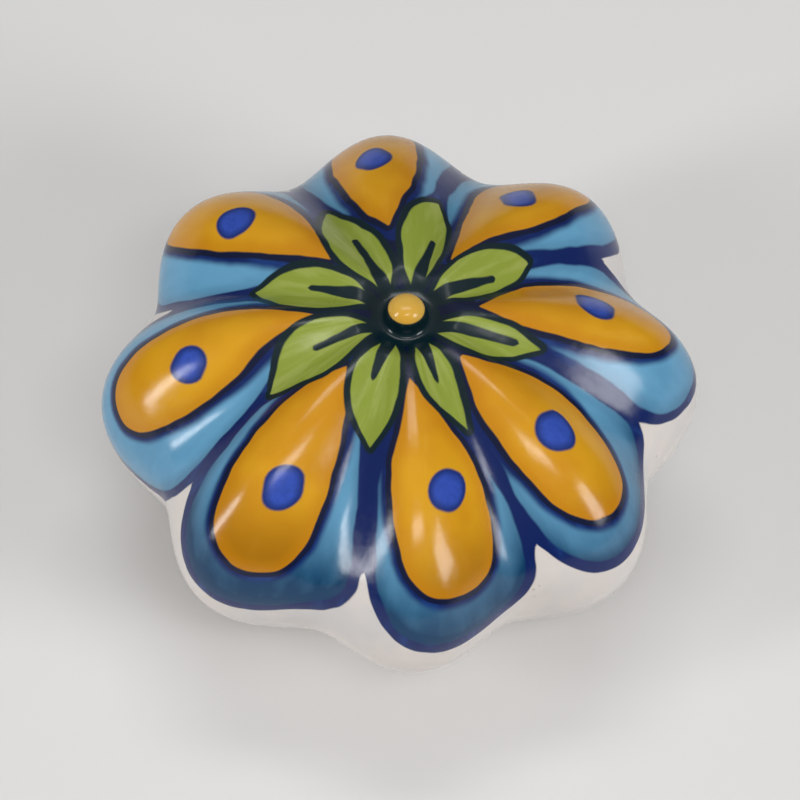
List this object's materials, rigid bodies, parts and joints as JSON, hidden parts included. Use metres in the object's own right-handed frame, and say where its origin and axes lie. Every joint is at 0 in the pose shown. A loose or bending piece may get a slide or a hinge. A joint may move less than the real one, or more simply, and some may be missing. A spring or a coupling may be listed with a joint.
{
  "type": "cabinet knob",
  "caption": "Lobed glazed ceramic cabinet knob, hand painted with a flower of amber petals, with a brass threaded insert in its back.",
  "frame": {"origin": "centre of the flat back of the foot, where the knob seats on a door or drawer front", "axes": "+Z along the knob's axis out of its painted front, +X through the crest of one lobe"},
  "size_m": [0.042, 0.042, 0.0274],
  "materials": {
    "glazed_ceramic": "glossy hand-painted glaze, unglazed on the flat of the foot",
    "brass": "turned brass"
  },
  "bodies": {
    "root": {"ceramic_body": "glazed_ceramic", "threaded_insert": "brass"}
  },
  "joints": []
}
